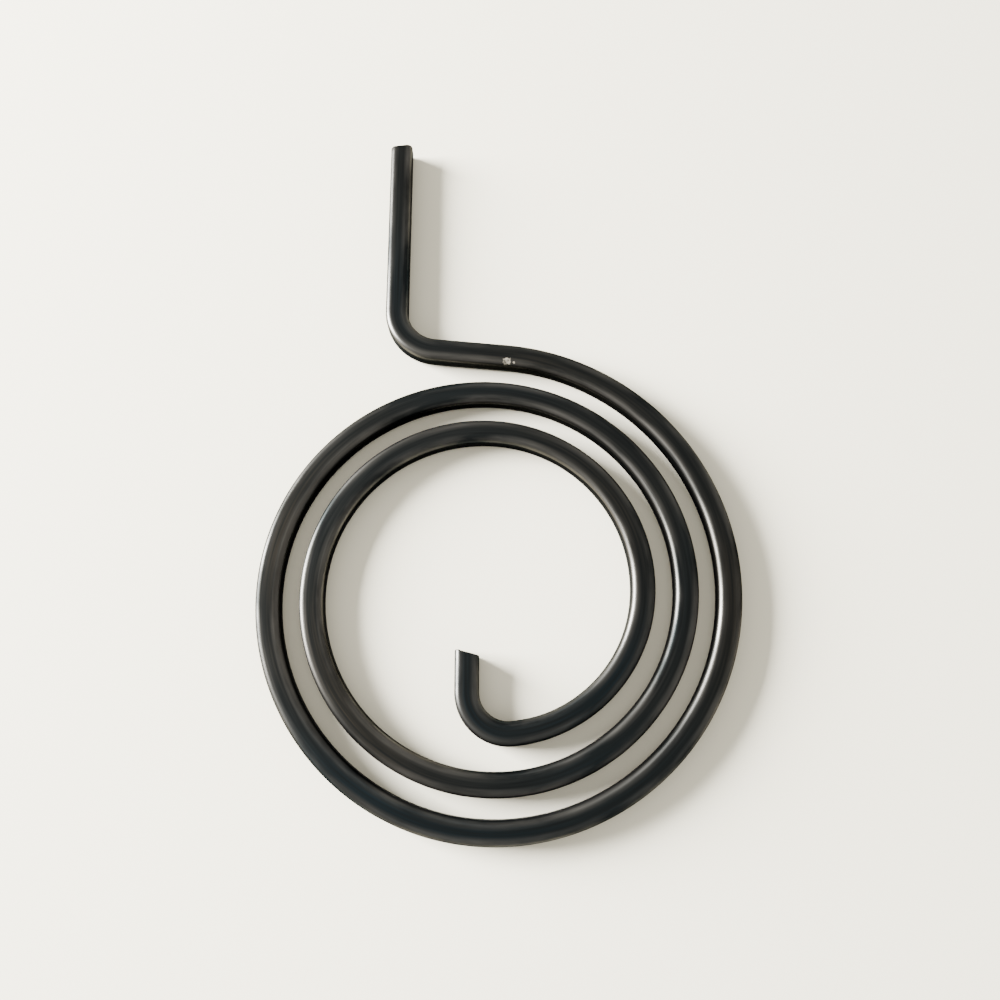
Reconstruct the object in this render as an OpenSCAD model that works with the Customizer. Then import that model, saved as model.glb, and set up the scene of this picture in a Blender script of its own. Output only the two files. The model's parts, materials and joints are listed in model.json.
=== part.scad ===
// Flat spiral torsion spring, bent from one length of square wire with rounded corners.
// It lies flat on z = 0 with the coil's axis on the Z axis. The wire is followed from the tip
// of its long outer leg, round the coil, to the tip of the short hook inside. It is divided
// along its length so that it can wind up: each division is a hinge that stands for bending.

/* [Wire] */
// Width of the square wire, across its flats
wire_w = 2.4; // [2.1:0.05:2.5]
// Radius of the wire's rounded corners
corner_r = 0.6; // [0.3:0.05:0.8]

/* [Outer leg] */
// Place of the tip, on the wire's centreline
leg_tip = [-9.9, 51.8]; // [-60:0.1:60]
// Length of the straight leg
leg_straight = 20.4; // [10:0.1:30]
// Centreline radius of the bend from the leg towards the coil
leg_bend_r = 4.5; // [3.5:0.1:6]
// Angle of that bend, to the left
leg_bend_angle = 85; // [80:1:90]
// Straight run between that bend and the coil
lead_in_straight = 7.6; // [5:0.1:10]

/* [Coil] */
// Centreline radius of the outermost quarter turn
first_r = 24.6; // [22:0.1:27]
// How much smaller each quarter turn's radius is than the one before it
quarter_step = 1.08; // [0.9:0.01:1.1]
// Centreline radius of the last, tighter stretch before the hook
last_r = 14.5; // [13:0.5:16]
// Angle of that stretch
last_angle = 80; // [70:1:90]

/* [Inner hook] */
// Centreline radius of the bend from the coil into the hook
hook_bend_r = 4; // [3:0.1:4.5]
// Length of the straight hook
hook_straight = 4; // [3:0.1:6]

/* [Hinges] */
// Gap between the end faces of two neighbouring lengths of wire
end_gap = 0.1; // [0.08:0.01:0.15]
// Radius of the round knuckle on a hinge's axis
knuckle_r = 0.8; // [0.6:0.05:0.85]
// Clearance all round the knuckle in its socket
knuckle_play = 0.02; // [0.01:0.01:0.05]

/* [Hidden] */
$fn = 64;
knuckle_h = 2 * knuckle_r;
// Quarter turns that tighten evenly: NODES names both halves of each
even_quarters = 9;
// The hook's bend leaves the hook lying along +Y, whatever the other angles are
hook_bend_angle = 90 + leg_bend_angle - last_angle;

// The wire as straight lengths [length, 0] and arcs [centreline radius, angle], left positive.
// Each quarter turn, and the last stretch, is two equal lengths.
path = concat(
    [[leg_straight, 0], [leg_bend_r, leg_bend_angle], [lead_in_straight, 0]],
    [for (q = [0 : even_quarters - 1]) for (half = [0, 1]) [first_r - q * quarter_step, -45]],
    [for (half = [0, 1]) [last_r, -last_angle / 2]],
    [[hook_bend_r, -hook_bend_angle], [hook_straight, 0]]
);

// The end of one length, seen from its start, which heads along +X
function end_of(piece) = piece[1] == 0
    ? [piece[0], 0]
    : piece[0] * [sin(abs(piece[1])), sign(piece[1]) * (1 - cos(piece[1]))];

function turned(p, a) = [p[0] * cos(a) - p[1] * sin(a), p[0] * sin(a) + p[1] * cos(a)];

// Heading of the wire where length i starts, and the place where it starts
function heading(i) = i == 0 ? -90 : heading(i - 1) + path[i - 1][1];
function place(i) = i == 0 ? leg_tip : place(i - 1) + turned(end_of(path[i - 1]), heading(i - 1));

// Cross-section of the wire: a square whose corners are quarter circles
module wire_section() {
    flat_w = wire_w - 2 * corner_r;
    square([wire_w, flat_w], center = true);
    square([flat_w, wire_w], center = true);
    for (x = [-1, 1], y = [-1, 1])
        translate([x, y] * flat_w / 2) circle(corner_r);
}

// A straight length along +X, set back from each hinge that it meets
module straight_wire(length, back, front) {
    translate([back, 0, 0]) rotate([90, 0, 90]) linear_extrude(length - back - front) wire_section();
}

// A curved length that starts along +X and turns left, set back from both hinges
module curved_wire(radius, angle, set_back) {
    trim = set_back / radius * 180 / PI;
    translate([0, radius, 0]) rotate(trim - 90)
        rotate_extrude(angle = angle - 2 * trim) translate([radius, 0]) wire_section();
}

module hinge_pin(radius, height) {
    cylinder(r = radius, h = height, center = true);
}

// Length i of the wire: its socket is at its start and its knuckle at its end
module wire_length(i) {
    first = i == 0;
    last = i == len(path) - 1;
    piece = path[i];
    translate([place(i)[0], place(i)[1], wire_w / 2]) rotate(heading(i))
        difference() {
            union() {
                if (piece[1] == 0)
                    straight_wire(piece[0], first ? 0 : end_gap / 2, last ? 0 : end_gap / 2);
                else
                    mirror([0, piece[1] < 0 ? 1 : 0, 0])
                        curved_wire(piece[0], abs(piece[1]), end_gap / 2);
                if (!last)
                    translate([end_of(piece)[0], end_of(piece)[1], 0]) hinge_pin(knuckle_r, knuckle_h);
            }
            if (!first)
                hinge_pin(knuckle_r + knuckle_play, knuckle_h + 2 * knuckle_play);
        }
}

// The long leg that the lock case holds
module outer_leg() {
    color("#30363a") wire_length(0);
}

// The bend from the leg towards the coil
module leg_bend() {
    color("#2c3236") wire_length(1);
}

// The straight run into the coil
module lead_in() {
    color("#282d31") wire_length(2);
}

// One eighth of a turn of the coil
module coil_length(i) {
    color("#282d31") wire_length(i);
}

// The bend from the coil into the hook
module hook_bend() {
    color("#2c3236") wire_length(len(path) - 2);
}

// The short hook that sits in the hub's slot
module inner_hook() {
    color("#30363a") wire_length(len(path) - 1);
}

outer_leg();
leg_bend();
lead_in();
for (i = [3 : len(path) - 3])
    coil_length(i);
hook_bend();
inner_hook();
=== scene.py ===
# %% [markdown]
# # A flat spiral torsion spring
# The real spring is one piece of square steel wire, wound cold into flat turns. The frame
# already holds it as short lengths joined by hinges. This lesson draws the same wire again as
# smooth pieces that run across those hinges, and gives it the finish of blackened spring wire.

# %% Load the frame
import json
import math

import bpy
from mathutils import Matrix, Vector


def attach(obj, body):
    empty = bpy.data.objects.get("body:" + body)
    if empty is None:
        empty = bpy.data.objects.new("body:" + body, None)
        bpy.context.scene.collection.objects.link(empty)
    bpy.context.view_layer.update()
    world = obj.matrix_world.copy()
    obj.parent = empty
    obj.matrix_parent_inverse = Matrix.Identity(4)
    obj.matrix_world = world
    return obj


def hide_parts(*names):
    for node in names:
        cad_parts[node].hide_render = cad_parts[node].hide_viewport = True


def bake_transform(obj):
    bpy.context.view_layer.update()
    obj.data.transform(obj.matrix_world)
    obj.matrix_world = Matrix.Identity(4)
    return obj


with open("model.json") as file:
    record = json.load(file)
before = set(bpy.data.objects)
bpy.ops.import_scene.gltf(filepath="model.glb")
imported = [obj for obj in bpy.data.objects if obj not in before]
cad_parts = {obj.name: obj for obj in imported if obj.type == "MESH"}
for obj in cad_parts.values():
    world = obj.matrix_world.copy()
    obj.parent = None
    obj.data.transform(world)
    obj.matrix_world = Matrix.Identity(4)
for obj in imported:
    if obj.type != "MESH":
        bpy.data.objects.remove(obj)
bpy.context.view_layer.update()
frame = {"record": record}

bodies = frame["record"]["behaviour"]["bodies"]
nodes = [node for members in bodies.values() for node in members]
body_of = {node: body for body, members in bodies.items() for node in members}

# %% [markdown]
# The wire's route is a chain of straights and arcs that meet without a kink, as a wire bender
# would be told it. It could also be a spiral formula, but a formula has no bends at the leg and
# the hook. The coil tightens by the same amount each quarter turn, so a loop works it out.

# %% The route's lengths, in millimetres and degrees
LEG_STRAIGHT, LEG_BEND_R, LEG_BEND_ANGLE, LEAD_IN = 20.4, 4.5, 85, 7.6
EVEN_QUARTERS, FIRST_R, QUARTER_STEP = 9, 24.6, 1.08
EIGHTH_TURN = 45
LAST_R, LAST_ANGLE = 14.5, 80
HOOK_BEND_R, HOOK_STRAIGHT = 4, 4
HOOK_BEND_ANGLE = 90 + LEG_BEND_ANGLE - LAST_ANGLE

# Each length is (length, 0) if straight, or (radius, angle) if curved, with left positive.
route = [(LEG_STRAIGHT, 0), (LEG_BEND_R, LEG_BEND_ANGLE), (LEAD_IN, 0)]
for quarter in range(EVEN_QUARTERS):
    route += [(FIRST_R - quarter * QUARTER_STEP, -EIGHTH_TURN)] * 2
route += [(LAST_R, -LAST_ANGLE / 2)] * 2
route += [(HOOK_BEND_R, -HOOK_BEND_ANGLE), (HOOK_STRAIGHT, 0)]
print(len(route), "lengths of wire")

# %% [markdown]
# To walk along the route we need two directions at each place: ahead, and to the left. An arc's
# centre lies one radius to the side that it turns to. The frame has a hinge at most of the
# divisions, so the last lines compare those with where the walk puts them.

# %% Walk along the route
MM = 0.001
LEG_TIP, LEG_HEADING = Vector((-9.9, 51.8)), -90


def facing(heading):
    return Vector((math.cos(heading), math.sin(heading)))


def leftwards(heading):
    return Vector((-math.sin(heading), math.cos(heading)))


def follow(place, heading, length, share):
    """Where the wire is, and where it heads, after a share of one length."""
    size, angle = length
    if angle == 0:
        return place + facing(heading) * size * share, heading
    side = math.copysign(1, angle)
    centre = place + leftwards(heading) * size * side
    turned = heading + math.radians(angle) * share
    return centre - leftwards(turned) * size * side, turned


def wire_used(length):
    size, angle = length
    return size if angle == 0 else size * math.radians(abs(angle))


starts, place, heading, run = [], LEG_TIP, math.radians(LEG_HEADING), 0
for length in route:
    starts.append((place, heading, run))
    place, heading = follow(place, heading, length, 1)
    run += wire_used(length)

apart = 0
for joint in frame["record"]["behaviour"]["joints"]:
    hinge = Vector(joint["pos_m"][:2]) / MM
    apart = max(apart, (starts[nodes.index(joint["child"])][0] - hinge).length)
print(f"{run:.0f} mm of wire, at most {apart:.4f} mm from the frame's hinges")

# %% [markdown]
# The camera looks down from close by and a little from the front, so a thin strip of the side
# walls shows beside the top of the wire. A tracking helper would roll the camera slightly, so
# its upward direction is built from the table's +Y instead, and the leg stands upright.

# %% The camera
CAMERA_PLACE = Vector((0.7, -13, 91.2)) * MM
CAMERA_AIM = Vector((1.25, 10.5, 1.2)) * MM
SENSOR_MM, LENS_MM, NEAREST = 36, 32.5, 0.001
bpy.ops.object.camera_add(location=CAMERA_PLACE)
camera = bpy.context.object
camera.name = "camera"
ahead = (CAMERA_AIM - CAMERA_PLACE).normalized()
across = ahead.cross(Vector((0, 1, 0))).normalized()
upright = across.cross(ahead)
camera.rotation_euler = Matrix((across, upright, -ahead)).transposed().to_euler()
camera.data.sensor_width = SENSOR_MM
camera.data.lens = LENS_MM
camera.data.clip_start = NEAREST
bpy.context.scene.camera = camera
print("camera", round((CAMERA_AIM - CAMERA_PLACE).length / MM), "mm away")

# %% [markdown]
# Square wire is drawn through a square die with rounded corners. Its section here starts as a
# plane stood on edge across the wire, with its corners bevelled round. With its face deleted,
# only the outline is left. A curve with a bevel could carry such a section too, but an outline
# that is drawn along step by step puts its rings just where we want them.

# %% The wire's section
WIRE_W, CORNER_R, CORNER_STEPS = 2.4, 0.6, 7
MID_HEIGHT = WIRE_W / 2


def add_section(place, heading):
    """Leaves the outline of the wire's section in edit mode, selected."""
    bpy.ops.object.select_all(action="DESELECT")
    bpy.ops.mesh.primitive_plane_add(
        size=WIRE_W * MM,
        location=(place.x * MM, place.y * MM, MID_HEIGHT * MM),
        rotation=(math.pi / 2, 0, heading + math.pi / 2),
    )
    bpy.ops.object.transform_apply(location=True, rotation=True, scale=True)
    bpy.ops.object.mode_set(mode="EDIT")
    bpy.ops.mesh.select_all(action="SELECT")
    bpy.ops.mesh.bevel(offset=CORNER_R * MM, segments=CORNER_STEPS, affect="VERTICES")
    bpy.ops.mesh.select_all(action="SELECT")
    bpy.ops.mesh.delete(type="ONLY_FACE")
    bpy.ops.mesh.select_all(action="SELECT")


print("section", WIRE_W, "mm square with", CORNER_R, "mm corners")

# %% [markdown]
# The outline is drawn along the route as the wire was bent: spun round the centre of an arc, or
# extruded along a straight. Spin turns the opposite way to our angles, hence the minus sign.
# Filling the two open ends closes the piece, and its faces are then turned outwards.

# %% Draw the section along
DEGREES_A_STEP, LEAST_ARC_STEPS = 1.5, 6
MM_A_STEP, LEAST_STRAIGHT_STEPS = 0.8, 2


def draw_on(index, begin, end):
    """Draws the selected outline along one length, between two shares of it."""
    place, heading, _ = starts[index]
    size, angle = route[index]
    share = end - begin
    if angle == 0:
        steps = max(LEAST_STRAIGHT_STEPS, round(size * share / MM_A_STEP))
        step = facing(heading) * size * share / steps * MM
        for _ in range(steps):
            bpy.ops.mesh.extrude_edges_move(TRANSFORM_OT_translate={"value": (*step, 0)})
        return
    centre = place + leftwards(heading) * math.copysign(size, angle)
    bpy.ops.mesh.spin(
        steps=max(LEAST_ARC_STEPS, round(abs(angle) * share / DEGREES_A_STEP)),
        angle=-math.radians(angle) * share,
        center=(centre.x * MM, centre.y * MM, MID_HEIGHT * MM),
        axis=(0, 0, 1),
    )


def close_piece(name):
    """Fills the two ends, turns the faces outwards and names the piece."""
    bpy.ops.mesh.select_all(action="SELECT")
    bpy.ops.mesh.fill_holes(sides=0)
    bpy.ops.mesh.normals_make_consistent(inside=False)
    bpy.ops.object.mode_set(mode="OBJECT")
    piece = bpy.context.object
    piece.name = piece.data.name = name
    return piece


print("an arc is drawn in steps of", DEGREES_A_STEP, "degrees")

# %% [markdown]
# The finish of drawn wire runs along the wire, not along the table. A UV map could say so, but
# it would need a seam. Instead each point keeps its place in the wire as if the wire were pulled
# straight: how far along it is, how far to the left, and how far up, all in millimetres. This is
# stored on the mesh and goes with it wherever the spring bends.

# %% Each point's place in the straight wire
def place_in_wire(point, index):
    """Millimetres along the wire, to the left of its centre, and up from its centre."""
    start, heading, run = starts[index]
    size, angle = route[index]
    flat = Vector((point.x, point.y)) / MM
    up = point.z / MM - MID_HEIGHT
    if angle == 0:
        away = flat - start
        return run + away.dot(facing(heading)), away.dot(leftwards(heading)), up
    side = math.copysign(1, angle)
    spoke = flat - (start + leftwards(heading) * size * side)
    first = -leftwards(heading) * side
    swept = side * math.atan2(first.x * spoke.y - first.y * spoke.x, first.dot(spoke))
    return run + swept * size, side * (size - spoke.length), up


def remember_wire(piece, before, after):
    """Stores the place of every point. The start of the length after divides the two."""
    division, heading, _ = starts[after]
    stored = piece.data.attributes.new("wire_place", "FLOAT_VECTOR", "POINT")
    for vertex, value in zip(piece.data.vertices, stored.data):
        flat = Vector((vertex.co.x, vertex.co.y)) / MM
        index = after if (flat - division).dot(facing(heading)) > 0 else before
        value.vector = place_in_wire(vertex.co, index)


tip = Vector((LEG_TIP.x, LEG_TIP.y, MID_HEIGHT)) * MM
print("the leg's tip in the straight wire:", [round(v, 2) for v in place_in_wire(tip, 0)])

# %% [markdown]
# The long sides are smooth and the cut ends are crisp. Smoothing by angle tells them apart: the
# rounded corners turn a little at each step, and the ends turn by a right angle at once.

# %% Smooth shading
SMOOTH_BELOW = 40


def smooth_sides(piece):
    bpy.ops.object.select_all(action="DESELECT")
    piece.select_set(True)
    bpy.context.view_layer.objects.active = piece
    bpy.ops.object.shade_smooth_by_angle(angle=math.radians(SMOOTH_BELOW))


print("edges below", SMOOTH_BELOW, "degrees are smooth")

# %% [markdown]
# A real wire has no seams. One long mesh could follow only one body, so the wire is made of
# pieces, each from the middle of one length to the middle of the next, with the hinge halfway.
# Each piece's ends meet the next pieces' ends exactly. The lengths beside the leg share its
# body, so their pieces just ride. A piece whose two lengths are on different bodies is left
# where it is drawn, on no body.

# %% The pieces between the ends
HALF = 0.5


pieces = []
for index in range(len(route) - 1):
    first, heading = follow(*starts[index][:2], route[index], HALF)
    add_section(first, heading)
    draw_on(index, HALF, 1)
    draw_on(index + 1, 0, HALF)
    piece = close_piece("wire_" + nodes[index + 1])
    remember_wire(piece, index, index + 1)
    smooth_sides(piece)
    held, moving = body_of[nodes[index]], body_of[nodes[index + 1]]
    if held == moving:
        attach(piece, held)
    else:
        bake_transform(piece)
    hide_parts(nodes[index + 1])
    pieces.append(piece)
print(len(pieces), "pieces,", sum(len(p.data.polygons) for p in pieces), "faces")

# %% [markdown]
# The wire is cut to length by a shear, which leaves a slightly slanted end with a small broken
# edge. The end's points could be slid along one by one, but a real cut is simpler: each end
# piece is drawn straight, bisected by a tilted plane, and its rim is bevelled. The cut is made
# inside the full length, so the wire never grows past its real size.

# %% A sheared end
RIM, RIM_STEPS = 0.09, 2


def shear_end(corner, normal):
    """Cuts the open mesh by a plane through a corner, and breaks the cut's sharp rim."""
    bpy.ops.mesh.select_all(action="SELECT")
    bpy.ops.mesh.bisect(
        plane_co=(corner.x * MM, corner.y * MM, MID_HEIGHT * MM),
        plane_no=(normal.x, normal.y, 0),
        use_fill=True,
        clear_outer=True,
    )
    bpy.ops.mesh.bevel(offset=RIM * MM, segments=RIM_STEPS, affect="EDGES")


def add_end(name, index, tip, inner, slant, body):
    """One straight end of the wire, from its tip to its inner share, cut at a slant."""
    place, heading = follow(*starts[index][:2], route[index], tip)
    add_section(place, heading)
    draw_on(index, tip, inner)
    outward = facing(heading) * math.copysign(1, tip - inner)
    lean = math.radians(slant)
    normal = outward * math.cos(lean) + leftwards(heading) * math.sin(lean)
    corner = place - leftwards(heading) * math.copysign(WIRE_W / 2, slant)
    shear_end(corner, normal)
    piece = close_piece(name)
    remember_wire(piece, index, min(index + 1, len(route) - 1))
    smooth_sides(piece)
    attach(piece, body)
    return piece


print("a cut's rim is broken by", RIM, "mm")

# %% [markdown]
# The leg's cut leans a little and the hook's leans more, as each was sheared on its own. The
# leg's end stands for the frame's first length. The hook's first half is drawn with the piece
# before it, which already stands for the frame's last length, so the tip stands for nothing.

# %% The two ends
LEG_SLANT, HOOK_SLANT = -5, -13
leg_end = add_end("wire_outer_leg", 0, 0, HALF, LEG_SLANT, body_of[nodes[0]])
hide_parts(nodes[0])
hook_end = add_end("wire_hook_tip", len(route) - 1, 1, HALF, HOOK_SLANT, body_of[nodes[-1]])
pieces += [leg_end, hook_end]
print("ends:", leg_end.name, hook_end.name)

# %% [markdown]
# Spring wire like this is drawn through a die, then hardened and tempered in oil, which leaves
# a tight blue-black oxide. It gives the eye a dark satin metal with fine lines along its
# length, faint blue and brown patches, and corners rubbed towards bare steel. The colours are
# typed as a screen shows them, and one function turns them into the light that Blender uses.

# %% Helpers for a material
def linear(code):
    """Turns a colour such as 2A3036 from sRGB into linear light."""
    parts = [int(code[k : k + 2], 16) / 255 for k in (0, 2, 4)]
    light = [p / 12.92 if p <= 0.04045 else ((p + 0.055) / 1.055) ** 2.4 for p in parts]
    return (*light, 1)


def add_node(tree, kind, settings, inputs):
    """Adds a node and gives its outputs. Inputs go by name or number, and each is a value or
    another node's output."""
    node = tree.nodes.new("ShaderNode" + kind)
    for name, value in settings.items():
        setattr(node, name, value)
    for socket, value in inputs.items():
        if isinstance(value, bpy.types.NodeSocket):
            tree.links.new(value, node.inputs[socket])
        else:
            node.inputs[socket].default_value = value
    return node.outputs


wire = bpy.data.materials.new("oil_tempered_spring_steel_drawn")
wire.use_nodes = True
tree = wire.node_tree
tree.nodes.clear()
in_wire = add_node(tree, "Attribute", {"attribute_name": "wire_place"}, {})["Vector"]
print("material", wire.name)

# %% [markdown]
# The die leaves scratches about 0.05 mm apart and many millimetres long. That is too fine to
# show, so they are drawn about 0.2 mm apart. A noise read in the wire's own coordinates, with
# the length squeezed far more than the width, is such a set of lines. Larger noises of the same
# sort give the patches of tint and the scuffs, and a fine even one gives grit.

# %% The wire's patterns, in millimetres along and across
LINE_LENGTH, LINE_SPACING = 9, 0.2
PATCH_LENGTH, PATCH_WIDTH = 45, 15
SCUFF_LENGTH, SCUFF_WIDTH = 7, 1.4
GRIT = 0.4


def wire_grain(along, across, detail, shift):
    """Noise whose grains are along mm long in the wire's length, and across mm wide."""
    scale = (1 / along, 1 / across, 1 / across)
    fit = {"Vector": in_wire, "Location": (shift, shift, 0), "Scale": scale}
    fitted = add_node(tree, "Mapping", {}, fit)[0]
    return add_node(tree, "TexNoise", {}, {"Vector": fitted, "Scale": 1, "Detail": detail})[0]


lines = wire_grain(LINE_LENGTH, LINE_SPACING, detail=3, shift=0)
patches = wire_grain(PATCH_LENGTH, PATCH_WIDTH, detail=2, shift=31)
scuffs = wire_grain(SCUFF_LENGTH, SCUFF_WIDTH, detail=4, shift=57)
grit = wire_grain(GRIT, GRIT, detail=3, shift=11)
print("lines", LINE_SPACING, "mm apart, patches", PATCH_LENGTH, "mm long")

# %% [markdown]
# Rubbing reaches the rounded corners first. A point's distance from the section's centre is
# largest there, so that distance, broken up by the scuffs, says where the oxide is thin. An
# edge-finding node could do it too, but this needs only the wire's own coordinates.

# %% Worn corners
FLAT_REACH, CORNER_REACH = 1.22, 1.44
SCUFF_FROM, SCUFF_FULL = 0.35, 0.75
NOT_ALONG = (0, 1, 1)
PRODUCT = {"operation": "MULTIPLY"}
sideways = add_node(tree, "VectorMath", PRODUCT, {0: in_wire, 1: NOT_ALONG})[0]
reach = add_node(tree, "VectorMath", {"operation": "LENGTH"}, {0: sideways})["Value"]
near_corner = {"Value": reach, "From Min": FLAT_REACH, "From Max": CORNER_REACH}
corner = add_node(tree, "MapRange", {}, near_corner)[0]
in_scuff = {"Value": scuffs, "From Min": SCUFF_FROM, "From Max": SCUFF_FULL}
scuffed = add_node(tree, "MapRange", {}, in_scuff)[0]
worn = add_node(tree, "Math", PRODUCT, {0: corner, 1: scuffed})[0]
print("corners wear from", FLAT_REACH, "to", CORNER_REACH, "mm from the wire's centre")

# %% [markdown]
# Oxide is coloured by its thickness, which drifts slowly along the wire from blue to brown. The
# die lines break the tint up with a plainer black, and worn corners let a little steel through.

# %% The oxide's colours
DARK, BLUE, BROWN, WORN = "1B1D1D", "181F22", "2B2823", "8F8B84"
BLUE_UP_TO, BROWN_FROM = 0.38, 0.62
BLACK_UP_TO, TINT_FROM = 0.3, 0.7
STEEL_SHOWING = 0.3
COLOUR = {"data_type": "RGBA"}
in_patch = {"Value": patches, "From Min": BLUE_UP_TO, "From Max": BROWN_FROM}
drift = add_node(tree, "MapRange", {}, in_patch)[0]
tint = add_node(tree, "Mix", COLOUR, {0: drift, 6: linear(BLUE), 7: linear(BROWN)})[2]
in_line = {"Value": lines, "From Min": BLACK_UP_TO, "From Max": TINT_FROM}
streak = add_node(tree, "MapRange", {}, in_line)[0]
oxide = add_node(tree, "Mix", COLOUR, {0: streak, 6: linear(DARK), 7: tint})[2]
thin = add_node(tree, "Math", PRODUCT, {0: worn, 1: STEEL_SHOWING})[0]
colour = add_node(tree, "Mix", COLOUR, {0: thin, 6: oxide, 7: linear(WORN)})[2]
print("oxide from", BLUE, "to", BROWN)

# %% [markdown]
# A small spot beside the lead-in's edge lost its oxide and shows bright steel, with a smaller
# one just past it. They are knocks, too shallow to model, and a distance from a point in the
# straight wire finds them. Grit makes their rims ragged and dulls them in places.

# %% The bright spots
COIL_START = starts[nodes.index("outer_turn_1")][2]
BRIGHT = "C9C0AE"
SHINY_UP_TO, DULL_FROM, LEAST_SHINE = 0.4, 0.6, 0.4
RIM_OUT, RIM_IN, RAGGED, CORE = 0.35, 0.65, 0.6, 0.5
# Each spot is millimetres past the coil's start, millimetres to the left, and its radius.
SPOTS = {"large": (0.3, -0.8, 0.4), "small": (1.0, -0.95, 0.14)}
shine = {"Value": grit, "From Min": SHINY_UP_TO, "From Max": DULL_FROM}
dulled = add_node(tree, "MapRange", {}, {**shine, "To Min": 1, "To Max": LEAST_SHINE})[0]
for past, aside, radius in SPOTS.values():
    centre = (COIL_START + past, aside, MID_HEIGHT)
    measure = {"operation": "DISTANCE"}
    away = add_node(tree, "VectorMath", measure, {0: in_wire, 1: centre})["Value"]
    wobble = {"To Min": -radius * RAGGED, "To Max": radius * RAGGED}
    wobble = {"Value": grit, "From Min": RIM_OUT, "From Max": RIM_IN, **wobble}
    rim = add_node(tree, "MapRange", {}, wobble)[0]
    ragged = add_node(tree, "Math", {"operation": "ADD"}, {0: away, 1: rim})[0]
    inside = {"Value": ragged, "From Min": radius, "From Max": radius * CORE}
    bare = add_node(tree, "MapRange", {}, inside)[0]
    spot = add_node(tree, "Math", PRODUCT, {0: bare, 1: dulled})[0]
    colour = add_node(tree, "Mix", COLOUR, {0: spot, 6: colour, 7: linear(BRIGHT)})[2]
print(len(SPOTS), "bright spots about", round(COIL_START, 1), "mm along the wire")

# %% [markdown]
# The oxide is duller where it is thick and shinier where it has been rubbed. It swallows light
# that grazes it, which a bare metal would throw back, so the shader's edge tint is grey. The
# die lines are so shallow that a bump of 0.02 mm, at a third of its strength, breaks the shine.

# %% Finish the material
SATIN, DULL, RUBBED = 0.36, 0.48, 0.08
SATIN_UP_TO, SCORED_FROM = 0.25, 0.75
BUMP_MM, BUMP_STRENGTH = 0.02, 0.35
EDGE_TINT = "8C8F93"
sheen = {"Value": lines, "From Min": SATIN_UP_TO, "From Max": SCORED_FROM}
scored = add_node(tree, "MapRange", {}, {**sheen, "To Min": SATIN, "To Max": DULL})[0]
rubbed = add_node(tree, "Math", PRODUCT, {0: worn, 1: RUBBED})[0]
rough = add_node(tree, "Math", {"operation": "SUBTRACT"}, {0: scored, 1: rubbed})[0]
die_lines = {"Strength": BUMP_STRENGTH, "Distance": BUMP_MM * MM, "Height": lines}
bumped = add_node(tree, "Bump", {}, die_lines)[0]
skin = {"Base Color": colour, "Metallic": 1, "Specular Tint": linear(EDGE_TINT)}
skin = {**skin, "Roughness": rough, "Normal": bumped}
shader = add_node(tree, "BsdfPrincipled", {}, skin)[0]
add_node(tree, "OutputMaterial", {}, {"Surface": shader})
for piece in pieces:
    piece.data.materials.clear()
    piece.data.materials.append(wire)
print(len(tree.nodes), "nodes in", wire.name, "on", len(pieces), "pieces")

# %% [markdown]
# The spring lies on a plain, warm white board of matt paint. It sits a hair below the wire, so
# that the two faces do not flicker through each other.

# %% The board
BOARD_SIZE, BOARD_GAP = 3, 0.00002
bpy.ops.object.select_all(action="DESELECT")
bpy.ops.mesh.primitive_plane_add(size=BOARD_SIZE, location=(0, 0, -BOARD_GAP))
floor = bpy.context.object
floor.name = "floor"
board = bpy.data.materials.new("matt_white_board")
board.use_nodes = True
paint = board.node_tree.nodes["Principled BSDF"]
paint.inputs["Base Color"].default_value = linear("F0EAD4")
paint.inputs["Roughness"].default_value = 0.9
paint.inputs["Specular IOR Level"].default_value = 0.1
floor.data.materials.append(board)
print("board", BOARD_SIZE, "m wide")

# %% [markdown]
# The light is a wide soft lamp low on the left, which throws a short soft shadow to the right,
# and an even pale sky that fills the rest. A point lamp would give a hard shadow instead.

# %% The light
SKY_STRENGTH = 1.05
LAMP_PLACE, LAMP_SIZE, LAMP_WATTS = Vector((-0.55, 0.15, 0.19)), 0.3, 56
world = bpy.data.worlds.new("sky")
bpy.context.scene.world = world
world.use_nodes = True
sky = world.node_tree.nodes["Background"]
sky.inputs["Color"].default_value = linear("FFFDF8")
sky.inputs["Strength"].default_value = SKY_STRENGTH

bpy.ops.object.light_add(type="AREA", location=LAMP_PLACE)
lamp = bpy.context.object
lamp.name = "left_lamp"
lamp.data.size = LAMP_SIZE
lamp.data.energy = LAMP_WATTS
lamp.rotation_euler = (-LAMP_PLACE).to_track_quat("-Z", "Y").to_euler()
print("sky and lamp are in place")
